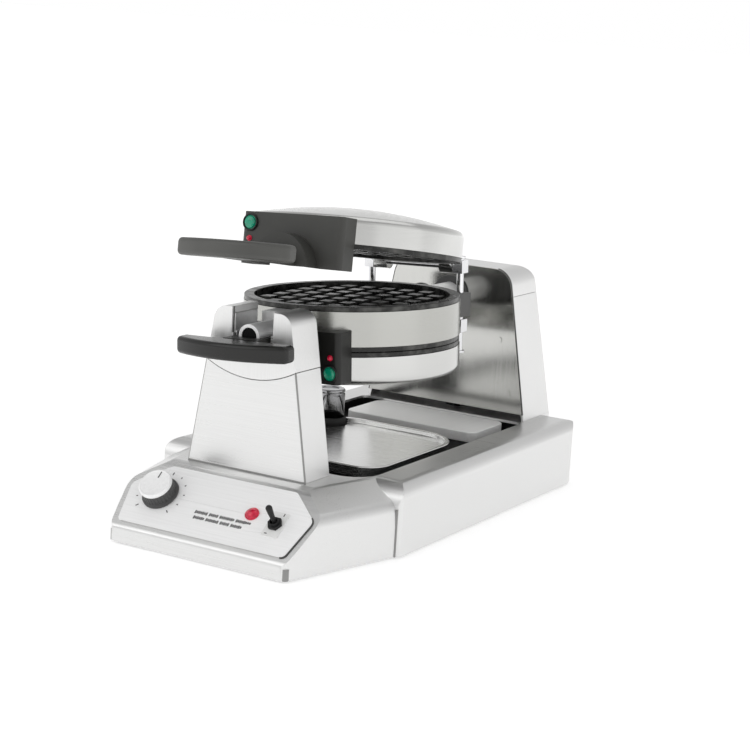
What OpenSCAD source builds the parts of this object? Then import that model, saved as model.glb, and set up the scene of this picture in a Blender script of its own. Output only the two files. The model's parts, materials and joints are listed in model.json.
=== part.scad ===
// Double rotating waffle maker.
// Origin: bottom centre of the base. -Y is the front with the controls, +X the right-hand side
// seen from the front, +Z up. Millimetres.
// The cooking body turns about an axis along Y, pz above the table. Each lid is drawn closed and
// above the cooking body, then on_upper() raises and opens it and on_lower() turns it underneath.

/* [Base] */
// Width of the rear section of the base
base_w = 265; // [255:1:280]
// Overall depth of the base
base_d = 510; // [500:1:520]
// Width of the base at its front edge
front_w = 187; // [175:1:195]
// Height of the flat deck
deck_z = 68; // [66:1:70]
// Height of the vertical lip in front of the control slope
lip_z = 16; // [12:1:20]
// Thickness of the casing
wall = 2.5; // [2:0.5:3]

/* [Towers] */
// Height of the front tower
tower_z = 215; // [213:1:218]
// Height of the rear tower
rear_z = 223; // [215:1:227]
// Width of the front tower at its foot
front_foot_w = 127; // [120:1:134]
// Width of the front tower at its top
front_top_w = 79; // [76:1:90]
// Width of the rear tower at its foot
rear_foot_w = 187; // [170:1:190]
// Width of the rear tower at its top
rear_top_w = 132; // [110:1:136]

/* [Cooking body] */
// Outer radius of the cooking body
body_r = 103.5; // [100:0.5:105]
// Height of the turning axis above the table
pz = 191.5; // [190:0.5:195]
// Distance from the turning axis to the outer face of a closed lid
lid_h = 51; // [49:1:53]
// Angle by which the upper lid stands open at rest
open_angle = 9.5; // [6:0.5:14]
// Height by which its floating hinge stands raised at rest
lift = 17; // [10:0.5:18]
// Angle by which the cooking body is rolled towards the left at rest
roll = 3.2; // [0:0.2:5]
// Side of a square pin of the waffle grid
pin_w = 13; // [11:0.5:14]
// Distance between the centres of neighbouring pins
pin_pitch = 22; // [20:0.5:24]

/* [Controls] */
// Radius of the temperature knob
knob_r = 15.5; // [13:0.5:17]
// Height of the temperature knob above the panel
knob_h = 17; // [14:1:20]
// Angle of the switch lever between off and on
throw = 12; // [10:1:20]
// Length of the switch lever above its pin
lever_l = 20; // [16:1:24]

/* [Hidden] */
$fn = 96;
foot_z = 2;                      // gap under the casing, filled by the feet
plate_z = 4;                     // underside and top of the sheet that closes the base
plate_top = 5.6;
step_y = -127;                   // front face of the rear section
step_half = base_w / 2 - 4.5;      // half width of the front section where it meets the rear one
shoulder_z = 50;                 // height of the front section's side wall
slope_run = 63;                  // horizontal length of the control slope
front_y = -base_d / 2;
slope_deg = atan2(deck_z - lip_z, slope_run);
side_deg = atan2(step_half - front_w / 2, step_y - front_y);
disc_y = -11;                    // centre of the cooking body along Y
axis_r = 18;                     // radius of the saddle and of the round arms in it
tower_front = -180.5;            // front tower's front face
tower_back = -140;               // front tower's rear face
rear_in = 188;                   // rear tower's inner face
rear_out = 252;                  // rear tower's back
cap_arc = 98;                    // radius of the front cap's curved seam
cap_low = 153;                   // lowest point of that seam
cap_side = 169;                  // height of the seam on the tower's sides
rear_seam = 196;                 // height of the rear cap's seam
shaft_r = 12;                    // rear shaft
bush_r = 16;                     // outside of the rear bearing
ring_r = 17.4;                   // outside of the slip ring
fit = 0.05;                      // radial running clearance
band_h = 16;                     // half height of the steel band
rim_h = 20.5;                    // top of the cooking body's own grid, above the axis
lid_rim = 21;                    // lower edge of a closed lid's grid
cover_h = 25.5;                  // lower edge of a closed lid's steel cover
dome = 12;                       // rise of the lid's crown
hinge_y = 112;                   // lid hinge axis
hinge_h = 21;                    // its distance from the turning axis
pin_r = 3;
post_x = 51;                     // posts on which the lid hinges float
post_end = 46;
rod_r = 3.5;
carrier_h = 6.5;
house_w = 108;                   // lid housing
house_h = 48;
house_y = -122;
arch_r = 27;
neck_r = 11;
bar_w = 117;                     // handle bar
bar_back = -199;
bar_front = -228;
bar_t = 15.5;
half_gap = 0.5;                  // each half handle stops this far from the turning plane
well = [190, 318, 12];           // recess for the trays: width, depth, height
well_y = 25;
tray = [160, 176, 10.5];
tray_y = 0;
ledge = [152, 70, 10.5];         // fixed drip plate behind the tray
ledge_y = 148;
post = [-66, 66];
post_r = 15;
post_z = 98;
knob_x = -62;
ctrl_s = 43;                     // place of the controls up the slope
lamp_x = 37;
switch_x = 64.5;
switch_s = 37.5;
bushing_r = 4.4;
pivot_h = 2;                     // height of the lever's pin above the panel

// ---- outlines ----

function unit(v) = v / norm(v);
function turn(a) = a > 180 ? a - 360 : a < -180 ? a + 360 : a;
// Points that round the corner at b between its neighbours a and c with radius r
function corner(a, b, c, r, steps) =
    let (u = unit(a - b), v = unit(c - b), half = acos(u * v) / 2,
         centre = b + unit(u + v) * r / sin(half),
         p = b + u * r / tan(half) - centre, q = b + v * r / tan(half) - centre,
         from = atan2(p.y, p.x), sweep = turn(atan2(q.y, q.x) - from))
    r <= 0 ? [b] : [for (i = [0:steps]) centre + r * [cos(from + sweep * i / steps),
                                                      sin(from + sweep * i / steps)]];
function rounded(p, r, steps = 8) =
    [for (i = [0:len(p) - 1])
        each corner(p[(i + len(p) - 1) % len(p)], p[i], p[(i + 1) % len(p)], r[i], steps)];
function rect(w, d, y = 0) = [[-w / 2, y - d / 2], [w / 2, y - d / 2], [w / 2, y + d / 2], [-w / 2, y + d / 2]];

// Extrude an x-z outline along Y from y0 to y1
module along_y(y0, y1) translate([0, y1, 0]) rotate([90, 0, 0]) linear_extrude(y1 - y0) children();
// Extrude a y-z outline along X, centred, or from x0 to x1
module along_x(x0, x1) translate([x0, 0, 0]) rotate([90, 0, 90]) linear_extrude(x1 - x0) children();
// Cylinder along Y
module rod_y(r, y0, y1) translate([0, y1, 0]) rotate([90, 0, 0]) cylinder(r = r, h = y1 - y0);
// Cylinder along X
module rod_x(r, x0, x1) translate([x0, 0, 0]) rotate([0, 90, 0]) cylinder(r = r, h = x1 - x0);
// The frame of the turning axis
module on_axis() translate([0, 0, pz]) children();
// The frame of the cooking body at rest
module on_rotor() on_axis() rotate([0, -roll, 0]) children();
// A place on the control slope: local z is the slope's normal
module on_panel(x, s) translate([x, front_y + s * cos(slope_deg), lip_z + s * sin(slope_deg)])
    rotate([slope_deg, 0, 0]) children();
// The upper lid, open at rest, and the lower lid
module on_upper() on_rotor() translate([0, hinge_y, hinge_h + lift]) rotate([-open_angle, 0, 0])
    translate([0, -hinge_y, -hinge_h]) children();
module on_lower() on_rotor() rotate([0, 180, 0]) children();

// ---- base ----

module front_block(i) intersection() {
    linear_extrude(deck_z - i)
        polygon(rounded([[-front_w / 2 + i, front_y + i], [front_w / 2 - i, front_y + i],
            [step_half - i, step_y], [step_half - i, step_y + 20], [i - step_half, step_y + 20],
            [i - step_half, step_y]], [8, 8, 0, 0, 0, 0]));
    along_x(-base_w / 2, base_w / 2)
        polygon(rounded([[front_y + i, 0], [step_y + 20, 0], [step_y + 20, deck_z - i],
            [front_y + slope_run + 0.36 * i, deck_z - i], [front_y + i, lip_z - 0.47 * i]],
            [0, 0, 0, 22, 7]));
}
// The wedge that is cut from each long upper edge of the front section
module side_cut(i) intersection() {
    translate([front_w / 2, front_y, 0]) rotate([0, 0, -side_deg]) translate([0, -60, 0])
        rotate([90, 0, 180]) mirror([1, 0, 0]) linear_extrude(240)
            polygon(rounded([[-40, deck_z + 2 - i], [-1 - i, shoulder_z - i / 2], [-i, shoulder_z - 20],
                [30, shoulder_z - 20], [30, deck_z + 20], [-40, deck_z + 20]], [0, 14, 0, 0, 0, 0]));
    translate([-base_w, -base_d, 0]) cube([2 * base_w, base_d + step_y + 25, 2 * deck_z]);
}
module rear_block(i) {
    d = base_d / 2 - step_y - 2 * i;
    intersection() {
        linear_extrude(deck_z - i)
            polygon(rounded(rect(base_w - 2 * i, d, (step_y + base_d / 2) / 2), [5, 5, 32, 32]));
        along_y(step_y + i, base_d / 2 - i)
            polygon(rounded([[-base_w / 2 + i, 0], [base_w / 2 - i, 0], [base_w / 2 - i, deck_z - i],
                [-base_w / 2 + i, deck_z - i]], [0, 0, 14, 14]));
        along_x(-base_w / 2, base_w / 2)
            polygon(rounded([[step_y + i, 0], [base_d / 2 - i, 0], [base_d / 2 - i, deck_z - i],
                [step_y + i, deck_z - i]], [0, 0, 22, 20]));
    }
}
module base_solid(i) union() {
    difference() {
        front_block(i);
        side_cut(i);
        mirror([1, 0, 0]) side_cut(i);
    }
    rear_block(i);
}
module well_hole(grow, z0, z1) translate([0, 0, z0]) linear_extrude(z1 - z0)
    polygon(rounded(rect(well.x + 2 * grow, well.y + 2 * grow, well_y), [30, 30, 8, 8]));
screw_x = [22, 60];
screw_y = [-222, 228];
module screw_places() for (i = [0, 1], s = [-1, 1]) translate([s * screw_x[i], screw_y[i], 0]) children();
module base_shell() color("gainsboro") difference() {
    base_solid(0);
    difference() {
        base_solid(wall);
        screw_places() translate([0, 0, plate_top]) cylinder(r = 5, h = deck_z);
    }
    screw_places() cylinder(r = 2.1, h = 14);
    translate([-base_w, -base_d, -1]) cube([2 * base_w, 2 * base_d, foot_z + 1]);
    well_hole(0, deck_z - 10, deck_z + 5);
    on_panel(knob_x, ctrl_s) cylinder(r = 5.2, h = 20, center = true);
    on_panel(lamp_x, ctrl_s) cylinder(r = 5.2, h = 20, center = true);
    on_panel(switch_x, switch_s) cube([14.4, 20.4, 20], center = true);
    translate([-85, base_d / 2, 32]) rod_y(9, -10, 10);
    // wire ducts into the rear tower
    translate([0, 219, deck_z - 10]) cylinder(r = 12, h = 20);
}
module base_plate() color("silver") difference() {
    intersection() {
        base_solid(wall + 0.3);
        translate([-base_w, -base_d, plate_z]) cube([2 * base_w, 2 * base_d, plate_top - plate_z]);
    }
    screw_places() cylinder(r = 2.1, h = 20);
}
foot_x = [75, 108];
foot_y = [-225, 215];
module rubber_feet() color("black") for (i = [0, 1], s = [-1, 1]) translate([s * foot_x[i], foot_y[i], 0])
    difference() {
        cylinder(r1 = 12, r2 = 14, h = 4);
        translate([0, 0, -1]) cylinder(r = 5, h = 3);
    }
module base_screws() color("dimgray") screw_places() {
    translate([0, 0, plate_z - 2.6]) cylinder(r = 4, h = 2.6);
    translate([0, 0, plate_z - 1]) cylinder(r = 2.1, h = 10);
}

// ---- controls ----

module control_panel() color("white") on_panel(0, 0) difference() {
    linear_extrude(0.8) polygon(rounded([[-89, 7], [89, 7], [98, 49], [67, 75], [-67, 75], [-98, 49]],
        [5, 5, 9, 6, 6, 9]));
    translate([knob_x, ctrl_s, -1]) cylinder(r = 5.2, h = 4);
    translate([lamp_x, ctrl_s, -1]) cylinder(r = 5.2, h = 4);
    translate([switch_x, switch_s, 0]) cube([14.4, 20.4, 4], center = true);
}
module power_lamp() color("crimson") on_panel(lamp_x, ctrl_s) {
    translate([0, 0, -16]) cylinder(r = 5, h = 17);
    translate([0, 0, 0.8]) cylinder(r = 6.6, h = 1.4);
    intersection() {
        translate([0, 0, -3]) sphere(r = 8);
        translate([0, 0, 2.2]) cylinder(r = 5.6, h = 4);
    }
}
module at_switch() on_panel(switch_x, switch_s) children();
module switch_housing() color("white") at_switch() difference() {
    union() {
        translate([-7, -10, -20]) cube([14, 20, 21]);
        translate([0, 0, 0.8]) linear_extrude(1) polygon(rounded(rect(17, 27, 0), [2, 2, 2, 2]));
    }
    translate([0, 0, -6]) cylinder(r = bushing_r, h = 20);
}
// Threaded bushing with its nut and the pin that the lever tips on
module switch_bushing() color("dimgray") at_switch() {
    difference() {
        union() {
            translate([0, 0, -6]) cylinder(r = bushing_r, h = 13);
            translate([0, 0, 1.8]) cylinder(r = 7, h = 2.6, $fn = 6);
        }
        translate([0, 0, pivot_h - 4]) cylinder(r = bushing_r - 1, h = 20);
    }
    translate([0, 0, pivot_h]) rod_x(1, 0.2 - bushing_r, bushing_r - 0.2);
}
module switch_lever() color("black") at_switch() translate([0, 0, pivot_h]) rotate([-throw / 2, 0, 0])
    difference() {
        union() {
            sphere(r = 2.5);
            cylinder(r1 = 1.7, r2 = 3, h = lever_l);
            translate([0, 0, lever_l]) sphere(r = 3);
        }
        rod_x(1 + fit, -6, 6);
    }
module thermostat() color("silver") on_panel(knob_x, ctrl_s) {
    translate([0, 0, -3]) cylinder(r = 5, h = 5);
    cylinder(r = 3, h = knob_h - 4);
    translate([0, 0, -24]) cylinder(r = 17, h = 21);
    translate([0, -15, -28]) cube([10, 8, 8], center = true);
}
module control_knob() color("whitesmoke") on_panel(knob_x, ctrl_s) difference() {
    union() {
        translate([0, 0, 2.3]) cylinder(r = knob_r + 2, h = 3);
        translate([0, 0, 5]) cylinder(r = knob_r, h = knob_h - 5);
    }
    translate([0, 0, 2]) cylinder(r = 3 + fit, h = knob_h - 5.8);
    translate([0, 0, 2]) cylinder(r = 5.5, h = 1.4);
    translate([-0.8, 6, knob_h - 1]) cube([1.6, knob_r, 4]);
}

// ---- inside the base ----

module control_board() color("green") {
    translate([-55, -188, 22]) cube([110, 60, 1.6]);
    for (x = [-40, -10, 20]) translate([x, -173, 23.6]) cube([18, 14, 9]);
    for (x = [-48, 48], y = [-183, -133]) translate([x, y, plate_top]) cylinder(r = 3, h = 22 - plate_top);
}
module transformer() color("peru") {
    translate([20, 140, plate_top]) cube([52, 42, 44]);
    translate([12, 148, 14]) cube([8, 26, 26]);
    translate([72, 148, 14]) cube([8, 26, 26]);
}
module ready_buzzer() color("black") translate([60, -150, plate_top]) {
    cylinder(r = 11, h = 10);
    translate([0, 0, 10]) cylinder(r = 3, h = 1);
}
module terminal_block() color("ivory") translate([-100, 190, plate_top]) difference() {
    cube([50, 18, 16]);
    for (i = [0:4]) translate([5 + 10 * i, 9, 8]) cylinder(r = 2.4, h = 12);
}
loom_r = 3;
elbow_r = 4.2;
// A run of cable through the listed points, with round elbows
module cable(points) for (i = [0:len(points) - 2]) {
    a = points[i];
    b = points[i + 1];
    d = b - a;
    translate(a) rotate([0, acos(d.z / norm(d)), atan2(d.y, d.x)]) cylinder(r = loom_r, h = norm(d));
    translate(b) sphere(r = elbow_r);
}
module wiring_loom() color("firebrick") union() {
    cable([[-85, 226, 32], [-85, 216, 14], [-85, 209, 14]]);
    cable([[-75, 187, 14], [-75, 130, 14], [-75, -125, 14], [-57, -150, 26]]);
    cable([[-60, 209, 14], [0, 219, 20], [0, 219, 150]]);
    cable([[-50, 199, 14], [-20, 199, 14], [-20, 160, 22], [7, 160, 22]]);
}
module mains_gland() color("black") translate([-85, base_d / 2, 32]) difference() {
    union() {
        rod_y(9, -wall, 0);
        rod_y(13, -wall - 4, -wall);
    }
    rod_y(4.5, -20, 20);
}
module tray_well() color("black") intersection() {
    difference() {
        well_hole(3, deck_z - wall - well.z, deck_z - wall);
        well_hole(1, deck_z - wall - well.z + 2, deck_z);
    }
    base_solid(wall + 0.1);
}
module tray_post() color("silver") translate([post.x, post.y, 0]) {
    tray_floor() cylinder(r = post_r + 2, h = 16);
    tray_floor() translate([0, 0, 16]) cylinder(r = post_r, h = post_z - deck_z + wall + well.z - 18);
}
module tray_floor() translate([0, 0, deck_z - wall - well.z + 2]) children();
module drip_tray() color("lightgray") tray_floor() translate([0, 0, 0.3]) difference() {
    linear_extrude(tray.z) polygon(rounded(rect(tray.x, tray.y, tray_y), [26, 26, 44, 44]));
    translate([0, 0, 6]) linear_extrude(tray.z)
        polygon(rounded(rect(tray.x - 9, tray.y - 9, tray_y), [22, 22, 40, 40]));
    translate([post.x, post.y, -1]) cylinder(r = post_r + 4, h = 30);
    translate([post.x - 40, post.y - post_r - 4, -1]) cube([40, 60, 30]);
}
// Sheet with its edges folded down
module rear_drip_plate() color("lightgray") tray_floor() difference() {
    linear_extrude(ledge.z) polygon(rounded(rect(ledge.x, ledge.y, ledge_y), [10, 10, 10, 10]));
    translate([0, 0, -1]) linear_extrude(ledge.z - 1)
        polygon(rounded(rect(ledge.x - 4, ledge.y - 4, ledge_y), [8, 8, 8, 8]));
}

// ---- towers ----

// Outline of a tower seen from the front, inset by i
function tower_face(foot, top, r, i, h) =
    let (t = top / 2 - i, f = foot / 2 - i)
    rounded([[-f, deck_z], [f, deck_z], [t, h - i], [-t, h - i]], [0, 0, max(r - i, 1), max(r - i, 1)]);
module front_body(i) intersection() {
    along_y(-200, -120) polygon(tower_face(front_foot_w, front_top_w, 13, i, tower_z));
    along_x(-100, 100) polygon([[tower_front + i, deck_z], [tower_back - i, deck_z],
        [tower_back - i, tower_z - i], [tower_front + i, tower_z - i]]);
}
liner = 2;
slot_gap = 2;                    // the saddle is wider above the axis, so that a rolled arm still enters
module saddle(grow, y0 = -210, y1 = -100) on_axis() {
    rod_y(axis_r + grow, y0, y1);
    translate([-axis_r - slot_gap - grow, y0, slot_gap - grow]) cube([2 * (axis_r + slot_gap + grow), y1 - y0, 60]);
}
module front_tower() difference() {
    front_body(0);
    difference() {
        front_body(wall);
        saddle(liner + wall);
    }
    saddle(liner);
}
module front_cap_zone(grow) {
    translate([0, 0, cap_low + cap_arc]) rod_y(cap_arc + grow, -210, -100);
    translate([-100, -210, cap_side - grow]) cube([200, 110, 80]);
}
module front_tower_shell() color("gainsboro") difference() {
    front_tower();
    front_cap_zone(0.4);
}
module front_tower_cap() color("whitesmoke") intersection() {
    front_tower();
    front_cap_zone(0);
}
module front_bearing() color("dimgray") intersection() {
    difference() {
        saddle(liner, tower_front + 3, tower_back - 3);
        saddle(0);
    }
    translate([-60, -300, 100]) cube([120, 300, tower_z - 6 - 100]);
    front_body(0);
}
module rear_body(i, y0 = rear_in + 2) intersection() {
    along_y(y0 - 1, rear_out) union() {
        polygon(tower_face(rear_foot_w, rear_top_w, 20, i, rear_z));
        translate([i - rear_foot_w / 2, deck_z - foot_dip]) square([rear_foot_w - 2 * i, foot_dip + 1]);
    }
    along_x(-120, 120) polygon(rounded([[y0, deck_z - foot_dip], [rear_out - i, deck_z - foot_dip],
        [rear_out - 8 - i, rear_z - i], [y0, rear_z - i]], [0, 0, 14, 0]));
}
// The shell's foot is cut to the rounded rear edge of the base
foot_dip = 14;
module rear_tower() difference() {
    rear_body(0);
    rear_body(wall, rear_in);
    base_solid(0);
}
module rear_tower_shell() color("gainsboro") intersection() {
    rear_tower();
    translate([-150, 100, 0]) cube([300, 200, rear_seam - 0.4]);
}
module rear_tower_cap() color("whitesmoke") intersection() {
    rear_tower();
    translate([-150, 100, rear_seam]) cube([300, 200, 100]);
}
module rear_inner_plate() color("silver") difference() {
    intersection() {
        along_y(rear_in, rear_in + 2) polygon(tower_face(rear_foot_w, rear_top_w, 20, 0, rear_z));
        translate([-150, 0, deck_z + 7]) cube([300, 300, 300]);
    }
    on_axis() rod_y(bush_r, 100, 300);
}
module rear_bearing() color("dimgray") on_axis() difference() {
    union() {
        rod_y(bush_r, rear_in, rear_in + 14);
        rod_y(bush_r + 3, rear_in - 4, rear_in);
    }
    rod_y(shaft_r + fit, 100, 300);
}
module brush_holder() color("black") on_axis() difference() {
    translate([12, 208, -12]) cube([18, 14, 24]);
    rod_y(ring_r + 0.6, 200, 240);
}
module tower_screws() color("dimgray") {
    for (s = [-1, 1], p = [[60, 150], [74, 95]]) translate([s * p.x, rear_in - 0.8, p.y]) rod_y(3, 0, 0.8);
}

// ---- cooking body ----

module at_disc() translate([0, disc_y, 0]) children();
module mid_band() color("silver") on_rotor() difference() {
    at_disc() translate([0, 0, -band_h]) cylinder(r = body_r, h = 2 * band_h);
    at_disc() translate([0, 0, -band_h - 1]) cylinder(r = body_r - 2, h = 2 * band_h + 2);
    rod_y(neck_r, -130, -80);
    rod_y(11, 80, 130);
}
grid_r = body_r - 10;
half_pins = floor(grid_r / pin_pitch);
// Square pins on a round plate, in four quarters
module pins(h0, h1) for (i = [-half_pins:half_pins], j = [-half_pins:half_pins])
    if (norm([i, j]) * pin_pitch + pin_w * 0.75 < grid_r)
        translate([i * pin_pitch - pin_w / 2, j * pin_pitch - pin_w / 2, h0]) cube([pin_w, pin_w, h1 - h0]);
module mid_grid() at_disc() {
    difference() {
        union() {
            translate([0, 0, 7]) cylinder(r = body_r - 2.2, h = band_h - 7);
            translate([0, 0, band_h]) cylinder(r = body_r - 0.6, h = rim_h - band_h);
        }
        translate([0, 0, 10]) cylinder(r = grid_r, h = 20);
    }
    pins(10, 18);
}
module mid_grid_top() color("dimgray") on_rotor() mid_grid();
module mid_grid_bottom() color("dimgray") on_rotor() rotate([0, 180, 0]) mid_grid();
module heater_ring(h) at_disc() translate([0, 0, h]) rotate_extrude() translate([70, 0]) circle(r = 3.1);
module mid_heaters() color("slategray") on_rotor() {
    heater_ring(3.7);
    heater_ring(-3.7);
}
module pivot_neck() color("silver") on_rotor() {
    difference() {
        translate([-19.5, -136, -band_h]) cube([39, 40, 2 * band_h]);
        at_disc() translate([0, 0, -40]) cylinder(r = body_r, h = 80);
    }
    difference() {
        rod_y(neck_r, -185, disc_y - body_r + 2);
        rod_y(8, -186, -172);
    }
}
module hinge_yoke() color("dimgray") on_rotor() difference() {
    union() {
        difference() {
            translate([-58, 60, -11.5]) cube([116, 62, 23]);
            at_disc() translate([0, 0, -40]) cylinder(r = body_r, h = 80);
        }
        rod_y(11, 97, 118);
        rod_y(17, 121, 126);
    }
    for (s = [-1, 1]) translate([s * post_x, hinge_y, -20]) cylinder(r = rod_r, h = 40);
    // room for the lids' knuckles
    for (s = [-1, 1], m = [-1, 1]) translate([s * 37.5, hinge_y, m * hinge_h]) rod_x(9, -8.5, 8.5);
}
module hinge_posts() color("silver") on_rotor() for (s = [-1, 1]) translate([s * post_x, hinge_y, 0]) {
    translate([0, 0, -post_end]) cylinder(r = rod_r, h = 2 * post_end);
    for (m = [0, 1]) mirror([0, 0, m]) translate([0, 0, post_end]) cylinder(r = 5.5, h = 2.5);
}
// Hinge pin between two blocks that slide on the posts
module carrier() {
    translate([0, hinge_y, hinge_h]) rod_x(pin_r, -46.5, 46.5);
    for (s = [-1, 1]) difference() {
        translate([s * post_x - 5.4, hinge_y - 6.5, hinge_h - carrier_h]) cube([10.8, 13, 2 * carrier_h]);
        translate([s * post_x, hinge_y, 0]) cylinder(r = rod_r + fit, h = 40);
    }
}
module lower_carrier() color("silver") on_lower() carrier();
module upper_carrier() color("silver") on_rotor() translate([0, 0, lift]) carrier();
module rear_shaft() color("silver") on_rotor() difference() {
    rod_y(shaft_r, 126, 228);
    rod_y(7, 120, 240);
}
module slip_ring() color("peru") on_rotor() difference() {
    rod_y(ring_r, 208, 222);
    rod_y(shaft_r, 200, 230);
    for (y = [211, 215, 219]) difference() {
        rod_y(ring_r + 1, y - 0.8, y + 0.8);
        rod_y(ring_r - 1.2, y - 2, y + 2);
    }
}

// ---- lids, drawn closed above the cooking body ----

module lid_cover() at_disc() difference() {
    rotate_extrude() polygon(concat([[0, cover_h], [body_r, cover_h]],
        [for (a = [0:10:80]) [body_r - 7 + 7 * cos(a), lid_h - 7 + 7 * sin(a)]],
        [for (x = [1:6]) [(body_r - 7) * (1 - x / 6), lid_h + dome * (1 - pow(1 - x / 6, 2))]]));
    rotate_extrude() polygon(concat([[0, cover_h - 1], [body_r - 2, cover_h - 1]],
        [for (a = [0:10:80]) [body_r - 7 + 5 * cos(a), lid_h - 7 + 5 * sin(a)]],
        [for (x = [1:6]) [(body_r - 7) * (1 - x / 6), lid_h - 2 + dome * (1 - pow(1 - x / 6, 2))]]));
}
module lid_grid() at_disc() {
    difference() {
        union() {
            translate([0, 0, lid_rim]) cylinder(r = body_r - 0.6, h = cover_h - lid_rim);
            translate([0, 0, cover_h]) cylinder(r = body_r - 2.2, h = 9);
        }
        translate([0, 0, lid_rim - 1]) cylinder(r = grid_r, h = 11.5);
    }
    pins(lid_rim + 2.5, lid_rim + 10.5);
}
module lid_heater() heater_ring(cover_h + 9 + 3.2);
module lid_insulation() at_disc() translate([0, 0, cover_h + 16]) cylinder(r = body_r - 9, h = 6);
module lid_housing() difference() {
    translate([0, 0, half_gap]) linear_extrude(house_h - half_gap)
        polygon(rounded([[-house_w / 2, house_y], [house_w / 2, house_y], [house_w / 2, -80],
            [-house_w / 2, -80]], [5, 5, 0, 0]));
    at_disc() translate([0, 0, cover_h - 1]) cylinder(r = body_r, h = 60);
    at_disc() translate([0, 0, -1]) cylinder(r = body_r + 0.6, h = cover_h + 0.5);
    rod_y(arch_r, -140, -60);
    for (p = [green, red]) translate([p[0], 0, p[1]]) rod_y(p[2], house_y - 2, house_y + 6);
}
// Lamps of a lid: place across, height and radius
green = [-45, 38, 7];
red = [-45, 23.5, 2.6];
module lamp(p) translate([p[0], 0, p[1]]) {
    rod_y(p[2], house_y - 0.8, house_y + 6);
    rod_y(p[2] * 0.8, house_y - 1.8, house_y - 0.8);
}
sleeve_r = 29.8;
sleeve_y = tower_back + 0.6;      // the sleeve starts just behind the tower
// Half-round arm: a sleeve round the neck block, a web behind the tower and a journal in the saddle
module lid_arm() intersection() {
    difference() {
        union() {
            rod_y(sleeve_r, sleeve_y, house_y);
            rod_y(axis_r - 0.1, -185, sleeve_y + 1);
            translate([-axis_r, bar_back, 0]) cube([2 * axis_r, -184 - bar_back, bar_t + half_gap]);
        }
        rod_y(26.2, sleeve_y + 2.4, -100);
        rod_y(neck_r + 0.6, -187, -100);
    }
    translate([-60, -300, half_gap]) cube([120, 300, 60]);
}
bar_bulge = 14;
bar_arc = (pow(bar_w / 2, 2) + pow(bar_bulge, 2)) / (2 * bar_bulge);
bar_half = asin(bar_w / 2 / bar_arc);
module lid_handle() translate([0, 0, half_gap]) linear_extrude(bar_t)
    polygon(concat([[bar_w / 2, bar_back], [-bar_w / 2, bar_back]],
        [for (a = [-bar_half:bar_half / 8:bar_half + 0.01]) [bar_arc * sin(a), bar_front + bar_arc * (1 - cos(a))]]));
module lid_lugs() difference() {
    for (s = [-1, 1]) difference() {
        union() {
            translate([s * 37.5, hinge_y, hinge_h]) rod_x(7.5, -7.5, 7.5);
            translate([s * 37.5, 0, 0]) along_x(-7.5, 7.5)
                polygon(rounded([[80, 27], [hinge_y, hinge_h - 3], [hinge_y + 7, hinge_h + 3],
                    [hinge_y + 4, 38], [100, 46], [80, 46]], [0, 0, 2, 6, 6, 0]));
        }
        translate([0, hinge_y, hinge_h]) rod_x(pin_r + fit, -60, 60);
    }
    at_disc() translate([0, 0, cover_h - 1]) cylinder(r = body_r, h = 60);
    at_disc() translate([0, 0, -1]) cylinder(r = body_r + 0.6, h = cover_h + 0.5);
}

module lower_cover() color("silver") on_lower() {
    lid_cover();
    lid_lugs();
}
module lower_grid() color("dimgray") on_lower() lid_grid();
module lower_heater() color("slategray") on_lower() lid_heater();
module lower_insulation() color("ivory") on_lower() lid_insulation();
module lower_housing() color("#2b2b2b") on_lower() lid_housing();
module lower_green_lamp() color("seagreen") on_lower() lamp(green);
module lower_red_lamp() color("crimson") on_lower() lamp(red);
module lower_arm() color("#2b2b2b") on_lower() lid_arm();
module lower_handle() color("#2b2b2b") on_lower() lid_handle();
module upper_cover() color("silver") on_upper() {
    lid_cover();
    lid_lugs();
}
module upper_grid() color("dimgray") on_upper() lid_grid();
module upper_heater() color("slategray") on_upper() lid_heater();
module upper_insulation() color("ivory") on_upper() lid_insulation();
module upper_housing() color("#2b2b2b") on_upper() lid_housing();
module upper_green_lamp() color("seagreen") on_upper() lamp(green);
module upper_red_lamp() color("crimson") on_upper() lamp(red);
module upper_arm() color("#2b2b2b") on_upper() lid_arm();
module upper_handle() color("#2b2b2b") on_upper() lid_handle();

base_shell();
base_plate();
rubber_feet();
base_screws();
control_panel();
power_lamp();
switch_housing();
switch_bushing();
thermostat();
control_board();
transformer();
ready_buzzer();
terminal_block();
wiring_loom();
mains_gland();
tray_well();
tray_post();
front_tower_shell();
front_tower_cap();
front_bearing();
rear_tower_shell();
rear_tower_cap();
rear_inner_plate();
rear_bearing();
brush_holder();
tower_screws();
rear_drip_plate();
drip_tray();
control_knob();
switch_lever();
mid_band();
mid_grid_top();
mid_grid_bottom();
mid_heaters();
pivot_neck();
hinge_yoke();
hinge_posts();
lower_carrier();
upper_carrier();
rear_shaft();
slip_ring();
lower_cover();
lower_grid();
lower_heater();
lower_insulation();
lower_housing();
lower_green_lamp();
lower_red_lamp();
lower_arm();
lower_handle();
upper_cover();
upper_grid();
upper_heater();
upper_insulation();
upper_housing();
upper_green_lamp();
upper_red_lamp();
upper_arm();
upper_handle();
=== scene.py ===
"""Studio view of a double rotating waffle maker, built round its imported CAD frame."""
import json
import math

import bmesh
import bpy
from mathutils import Matrix, Vector

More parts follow.
